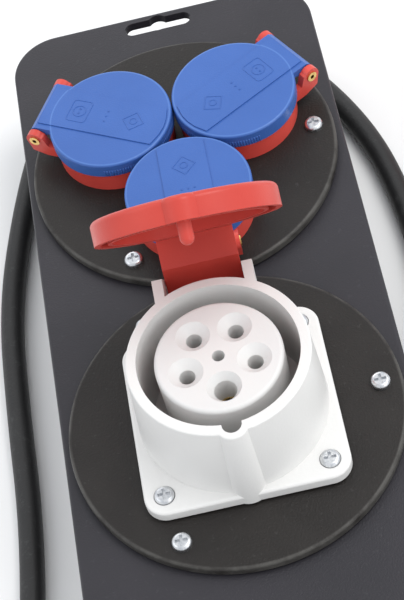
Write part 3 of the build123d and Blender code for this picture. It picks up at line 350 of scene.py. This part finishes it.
def makeStudio():
    half = studio["floorSize"] / 2
    mesh = bpy.data.meshes.new("floor")
    corners = [(-half, -half, 0), (half, -half, 0), (half, half, 0), (-half, half, 0)]
    mesh.from_pydata(corners, [], [(0, 1, 2, 3)])
    floor = bpy.data.objects.new("floor", mesh)
    bpy.context.scene.collection.objects.link(floor)
    paper = Finish("floorPaper", Roughness=0.85, Specular_IOR_Level=0.2)
    paper.feed("Base Color", studio["floor"])
    mesh.materials.append(paper.material)
    for name, place, size, power, colour in studio["lights"]:
        light = bpy.data.lights.new(name, "AREA")
        light.shape = "DISK"
        light.size = size
        light.energy = power
        light.color = colour
        lamp = bpy.data.objects.new(name, light)
        lamp.location = place
        lamp.rotation_euler = (-Vector(place)).to_track_quat("-Z", "Y").to_euler()
        bpy.context.scene.collection.objects.link(lamp)
    world = bpy.data.worlds.new("studio")
    world.use_nodes = True
    sky = world.node_tree.nodes["Background"]
    sky.inputs[0].default_value = studio["world"]
    sky.inputs[1].default_value = studio["worldStrength"]
    bpy.context.scene.world = world
    bpy.context.scene.view_settings.view_transform = "Standard"


makeStudio()
print("stage: camera and studio set")


# supply cable

cable = {
    "radius": 5.0, "length": 2.17, "coilCentre": (137.0, -60.0), "coilFrom": 157, "coilTo": 1450.7,
    "coilStep": 15, "inwardAt": (440, 500), "outwardAt": (1155, 1215), "upAt": (785, 838), "leaveFrom": 1400,
    "leaveBy": 4.2, "lead": 18,
    "outer": 58.1, "inner": 47.9, "low": 6.0, "high": 16.0,
}
cableStart = [
    (0, -150.5, 26), (0, -178, 26), (0, -206, 26), (-10.2, -243.4, 17), (-41, -261.2, 8), (-76, -255, 5),
    (-98.9, -227.8, 5), (-100.2, -196.5, 5), (-98, -164, 5), (-94, -112, 5), (-89.2, -60, 5), (-89.4, -6, 5),
    (-87.8, 46, 5), (-76.5, 98, 5), (-62, 142, 5), (-28, 164, 5), (18, 165, 5), (54, 147, 5), (70, 119, 5),
    (81, 88, 5), (85.5, 56, 5), (87, 20, 5), (85, -14, 5.9),
]


def step(value, start, end):
    # 0 before start, 1 after end, smooth between
    share = min(1.0, max(0.0, (value - start) / (end - start)))
    return share * share * (3 - 2 * share)


def coilPoints():
    # outer bottom turn, inner bottom turn, inner top turn, outer top turn
    points = []
    count = round((cable["coilTo"] - cable["coilFrom"]) / cable["coilStep"])
    for place in range(count + 1):
        angle = cable["coilFrom"] + place * (cable["coilTo"] - cable["coilFrom"]) / count
        inward = step(angle, *cable["inwardAt"]) - step(angle, *cable["outwardAt"])
        upward = step(angle, *cable["upAt"])
        leaving = step(angle, cable["leaveFrom"], cable["coilTo"])
        radius = cable["outer"] + (cable["inner"] - cable["outer"]) * inward - cable["leaveBy"] * leaving
        height = cable["low"] + (cable["high"] - cable["low"]) * upward
        turn = math.radians(angle)
        points.append((cable["coilCentre"][0] + radius * math.cos(turn),
                       cable["coilCentre"][1] + radius * math.sin(turn), height))
    return points


plugAxis = Vector((0, math.cos(math.radians(14.4703)), math.sin(math.radians(14.4703))))
plugRear = Vector((170, 38, 11.963))
plugLead = plugAxis * cable["lead"]
cableEnd = [(181, -19, 16), tuple(plugRear - plugLead), tuple(plugRear), tuple(plugRear + plugLead)]


def makeCable():
    curve = bpy.data.curves.new("supplyCable", "CURVE")
    curve.dimensions = "3D"
    curve.bevel_depth = cable["radius"] * mm
    curve.bevel_resolution = 6
    curve.use_fill_caps = True
    curve.resolution_u = 10
    route = cableStart + coilPoints() + cableEnd
    line = curve.splines.new("NURBS")
    line.points.add(len(route) - 1)
    for point, place in zip(line.points, route):
        point.co = (*(Vector(place) * mm), 1)
    line.order_u = 3
    line.use_endpoint_u = True
    piece = bpy.data.objects.new("supplyCable", curve)
    curve.materials.append(finishes["cable_rubber"].material)
    bpy.context.scene.collection.objects.link(piece)
    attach(piece, "enclosure")
    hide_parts("supply_cable", "supply_cable_coil")
    return piece


supplyCable = makeCable()
print("stage: cable laid")


# detail pieces

def addMesh(name, points, faces, slotName, body, replaced=(), smooth=True):
    mesh = bpy.data.meshes.new(name)
    mesh.from_pydata([tuple(point) for point in points], [], faces)
    mesh.validate()
    shell = bmesh.new()
    shell.from_mesh(mesh)
    bmesh.ops.remove_doubles(shell, verts=shell.verts, dist=1e-6)
    bmesh.ops.recalc_face_normals(shell, faces=shell.faces)
    shell.to_mesh(mesh)
    shell.free()
    for face in mesh.polygons:
        face.use_smooth = smooth
    mesh.materials.append(finishes[slotName].material)
    piece = bpy.data.objects.new(name, mesh)
    bpy.context.scene.collection.objects.link(piece)
    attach(piece, body)
    if replaced:
        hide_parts(*replaced)
    return piece


def turned(profile, origin, axis, sides, radiusAt=None):
    # closed loop of (distance along, radius) swept about the axis; radiusAt trims the radius
    axis = Vector(axis).normalized()
    across = axis.orthogonal().normalized()
    third = axis.cross(across)
    points = []
    faces = []
    count = len(profile)
    for side in range(sides):
        angle = math.tau * side / sides
        out = across * math.cos(angle) + third * math.sin(angle)
        for place, (along, radius) in enumerate(profile):
            if radiusAt:
                radius = radiusAt(place, along, radius, angle)
            points.append((Vector(origin) + axis * along + out * radius) * mm)
    for side in range(sides):
        after = (side + 1) % sides
        for place in range(count):
            following = (place + 1) % count
            faces.append((side * count + place, side * count + following, after * count + following,
                          after * count + place))
    return points, faces


guard = {
    "face": -150.5, "start": 11.0, "rootFrom": 17.0, "tip": 43.0, "bore": 5.05, "collar": 8.5, "root": 8.4,
    "tipRadius": 6.3, "rings": 8, "groove": 0.8,
}


def bendGuard():
    # tapering guard with cut rings, so that it bends evenly
    outer = [(guard["start"], guard["collar"]), (guard["rootFrom"], guard["collar"]),
             (guard["rootFrom"], guard["root"])]
    span = guard["tip"] - guard["rootFrom"] - 2
    for ring in range(guard["rings"]):
        for share, depth in ((0.25, 0), (0.40, guard["groove"]), (0.70, guard["groove"]), (0.85, 0)):
            place = (ring + share) / guard["rings"]
            radius = guard["root"] + (guard["tipRadius"] - guard["root"]) * place
            outer.append((guard["rootFrom"] + 1 + span * place, radius - depth))
    outer += [(guard["tip"] - 0.4, guard["tipRadius"]), (guard["tip"], guard["tipRadius"] - 0.4)]
    inner = [(guard["tip"], guard["bore"]), (guard["start"], guard["bore"])]
    points, faces = turned(outer + inner, (0, guard["face"], 26), (0, -1, 0), 48)
    return addMesh("bendGuardRings", points, faces, "soft_rubber", "enclosure", ["bend_guard"], smooth=False)



nuts = {"flutes": 24, "depth": 0.7, "glandRadius": 11.5, "glandBore": 8.6, "plugRadius": 11.5, "plugBore": 5.05}


def fluted(depth, flutes, places):
    def radiusAt(place, along, radius, angle):
        if place not in places:
            return radius
        return radius - depth * (0.5 - 0.5 * math.cos(angle * flutes)) ** 2
    return radiusAt


def glandNut():
    face = guard["face"]
    outer = [(5.0, 10.9), (5.6, nuts["glandRadius"]), (15.2, nuts["glandRadius"]), (16.4, 11.0), (17.0, 10.1)]
    inner = [(17.0, nuts["glandBore"]), (5.0, nuts["glandBore"])]
    points, faces = turned(outer + inner, (0, face, 26), (0, -1, 0), nuts["flutes"] * 8,
                           fluted(nuts["depth"], nuts["flutes"], (1, 2)))
    return addMesh("glandNutFlutes", points, faces, "gland_plastic", "enclosure", ["gland_nut"], smooth=False)


def plugNut():
    outer = [(0, 9.8), (1.2, 11.0), (2.2, nuts["plugRadius"]), (15.8, nuts["plugRadius"]), (16.6, 11.0), (18, 11.0)]
    inner = [(18, nuts["plugBore"]), (0, nuts["plugBore"])]
    points, faces = turned(outer + inner, plugRear, plugAxis, nuts["flutes"] * 8,
                           fluted(nuts["depth"], nuts["flutes"], (2, 3)))
    return addMesh("plugNutFlutes", points, faces, "plug_grey", "enclosure", ["plug_nut"], smooth=False)


grip = {"from": 18.0, "to": 80.0, "rear": 17.0, "front": 26.0, "flutes": 20, "depth": 1.3}


def plugGrip():
    # handle with finger flutes that run out towards both ends
    outer = []
    rows = 24
    for row in range(rows + 1):
        share = row / rows
        outer.append((grip["from"] + (grip["to"] - grip["from"]) * share,
                      grip["rear"] + (grip["front"] - grip["rear"]) * share))
    outer[0] = (grip["from"], grip["rear"] - 0.8)

    def radiusAt(place, along, radius, angle):
        if place > rows:
            return radius
        share = place / rows
        fade = step(share, 0.05, 0.16) * (1 - step(share, 0.78, 0.92))
        wave = (0.5 - 0.5 * math.cos(angle * grip["flutes"])) ** 2
        belt = 0.5 * (step(share, 0.93, 0.95) - step(share, 0.97, 0.99))
        return radius - grip["depth"] * fade * wave - belt

    inner = [(grip["to"], 6.0), (grip["from"], 6.0)]
    points, faces = turned(outer + inner, plugRear, plugAxis, grip["flutes"] * 8, radiusAt)
    return addMesh("plugGripFlutes", points, faces, "plug_grey", "enclosure", ["plug_grip"])


cableFittings = [bendGuard(), glandNut(), plugNut(), plugGrip()]
print("stage: guard, nuts and plug grip made")


lids = {
    "radius": 25.3, "top": 16.1, "band": 0.5, "ribs": 60, "ribSpan": 148, "ribLow": 9.7, "ribHigh": 12.3,
    "ribRadius": 0.33, "bandHalf": 9.5, "markHeight": 0.22, "line": 0.42,
}
seat = discTop / mm


def lidFrame(side):
    # local frame on a lid: u towards the free side, v across, w up
    turn = math.radians(socketTurns[side] + 180)
    along = Vector((math.cos(turn), math.sin(turn), 0))
    across = Vector((-math.sin(turn), math.cos(turn), 0))
    return socketCentres[side] / mm, along, across


def lidRibs(side):
    # thumb ribs down the free side of the skirt
    centre, along, across = lidFrame(side)
    points = []
    faces = []
    steps = 6
    for rib in range(lids["ribs"]):
        turn = math.radians((rib / (lids["ribs"] - 1) - 0.5) * lids["ribSpan"])
        out = along * math.cos(turn) + across * math.sin(turn)
        side2 = -along * math.sin(turn) + across * math.cos(turn)
        first = len(points)
        for height, swell in ((lids["ribLow"], 0.5), (lids["ribLow"] + 0.4, 1), (lids["ribHigh"], 1),
                              (lids["ribHigh"] + 0.7, 0.3)):
            for place in range(steps + 1):
                bend = math.pi * place / steps
                point = centre + out * (lids["radius"] - 0.06 + lids["ribRadius"] * swell * math.sin(bend))
                point = point + side2 * lids["ribRadius"] * math.cos(bend)
                points.append((point + Vector((0, 0, seat + height))) * mm)
        for row in range(3):
            for place in range(steps):
                low = first + row * (steps + 1) + place
                faces.append((low, low + 1, low + steps + 2, low + steps + 1))
        faces.append(tuple(range(first, first + steps + 1)))
        faces.append(tuple(range(first + 3 * (steps + 1), first + 4 * (steps + 1))))
        for row in range(3):
            low = first + row * (steps + 1)
            faces.append((low, low + steps + 1, low + 2 * steps + 1, low + steps))
    addMesh(side + "LidRibs", points, faces, "lid_blue", side + "_cover")


def strip(points, faces, path, closed, base, height, width, place):
    # raised line along a flat path, mitred at its corners
    count = len(path)
    first = len(points)
    for number, point in enumerate(path):
        point = Vector(point)
        before = Vector(path[number - 1]) if closed or number else None
        after = Vector(path[(number + 1) % count]) if closed or number < count - 1 else None
        incoming = (point - before).normalized() if before is not None else (after - point).normalized()
        outgoing = (after - point).normalized() if after is not None else incoming
        normal = Vector((-(incoming.y + outgoing.y), incoming.x + outgoing.x)).normalized()
        reach = width / 2 / max(0.35, normal.dot(Vector((-incoming.y, incoming.x))))
        top = base + height
        for offset, level in ((reach, base), (reach * 0.75, top), (-reach * 0.75, top), (-reach, base)):
            points.append(place(point + normal * offset, level))
    rounds = count if closed else count - 1
    for number in range(rounds):
        here = first + number * 4
        there = first + ((number + 1) % count) * 4
        for row in range(4):
            after = (row + 1) % 4
            faces.append((here + row, here + after, there + after, there + row))
    if not closed:
        faces.append(tuple(first + row for row in range(4)))
        faces.append(tuple(first + (count - 1) * 4 + row for row in range(4)))


def ring(centre, radius, count=20):
    return [(centre[0] + radius * math.cos(math.tau * turn / count),
             centre[1] + radius * math.sin(math.tau * turn / count)) for turn in range(count)]


def rounded(centre, half, corner):
    path = []
    for start, sx, sy in ((0, 1, 1), (90, -1, 1), (180, -1, -1), (270, 1, -1)):
        for part in range(4):
            angle = math.radians(start + part * 30)
            path.append((centre[0] + sx * (half[0] - corner) + corner * math.cos(angle),
                         centre[1] + sy * (half[1] - corner) + corner * math.sin(angle)))
    return path


def lidMarks(side):
    # plain moulded signs on the band: a socket, a row of dots, a diamond with a dot
    centre, along, across = lidFrame(side)
    base = seat + lids["top"] + lids["band"] - 0.05

    def place(point, level):
        return (centre + along * point[0] + across * point[1] + Vector((0, 0, level))) * mm

    points = []
    faces = []
    paths = [(rounded((-13.5, 0), (4.2, 5.4), 1.4), True), (ring((-13.5, 0), 2.7), True),
             (ring((-13.5, -1.1), 0.35, 10), True), (ring((-13.5, 1.1), 0.35, 10), True)]
    paths += [(ring((-1.5, 2.6 * spot), 0.3, 10), True) for spot in (-1, 0, 1)]
    paths += [([(10.5, -4.6), (15.1, 0), (10.5, 4.6), (5.9, 0)], True), (ring((10.5, 0), 1.5, 14), True)]
    for path, closed in paths:
        strip(points, faces, path, closed, base, lids["markHeight"], lids["line"], place)
    addMesh(side + "LidMarks", points, faces, "lid_blue", side + "_cover", smooth=False)


def bandEnd(side):
    # the band carried on to the lid's rim
    centre, along, across = lidFrame(side)
    half = lids["bandHalf"]
    tip = lids["radius"] * 0.86
    root = lids["radius"] * 0.55
    outline = [(root, half), (tip, 0), (root, -half), (21.6, -half), (23.3, -4), (23.7, 0), (23.3, 4),
               (21.6, half)]
    points = []
    for level in (lids["top"] - 0.05, lids["top"] + lids["band"] + 0.01):
        for u, v in outline:
            points.append((centre + along * u + across * v + Vector((0, 0, seat + level))) * mm)
    count = len(outline)
    faces = [(place, (place + 1) % count, (place + 1) % count + count, place + count)
             for place in range(count)]
    for level in (0, count):
        faces += [(level + 1, level + 0, level + 7, level + 6), (level + 1, level + 6, level + 5),
                  (level + 1, level + 5, level + 4), (level + 1, level + 4, level + 3, level + 2)]
    addMesh(side + "BandEnd", points, faces, "lid_blue", side + "_cover", smooth=False)


for side in socketTurns:
    lidRibs(side)
    bandEnd(side)
    lidMarks(side)
print("stage: lid ribs and marks made")


def tieBuckle():
    # loose end of the hook strap, folded over its own band
    points = []
    faces = []
    low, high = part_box("coil_tie")
    top = high.z / mm
    left = low.x / mm
    right = high.x / mm
    front = low.y / mm + 1.5
    back = high.y / mm - 3.0
    rows = 14
    for row in range(rows + 1):
        share = row / rows
        y = front + (back - front) * share
        lift = 0.12 + 0.9 * share ** 3
        for x, level in ((left + 0.8, 0), (left + 0.8, 0.8), (right - 0.8, 0.8), (right - 0.8, 0)):
            points.append(Vector((x, y, top - 0.1 + level + lift)) * mm)
    for row in range(rows):
        for place in range(4):
            after = (place + 1) % 4
            faces.append((row * 4 + place, row * 4 + after, row * 4 + 4 + after, row * 4 + 4 + place))
    faces.append((0, 1, 2, 3))
    faces.append(tuple(rows * 4 + place for place in range(4)))
    return addMesh("tieLooseEnd", points, faces, "soft_rubber", "enclosure", smooth=False)


cableFittings.append(tieBuckle())
print("stage: coil tie end made")


# the cord's nodes and fittings, gathered in a list
cordNodes = ["coil_tie", "plug_head", "plug_pins", "gland_seal", "gland_body"]
[findNode(name) for name in cordNodes] + cableFittings
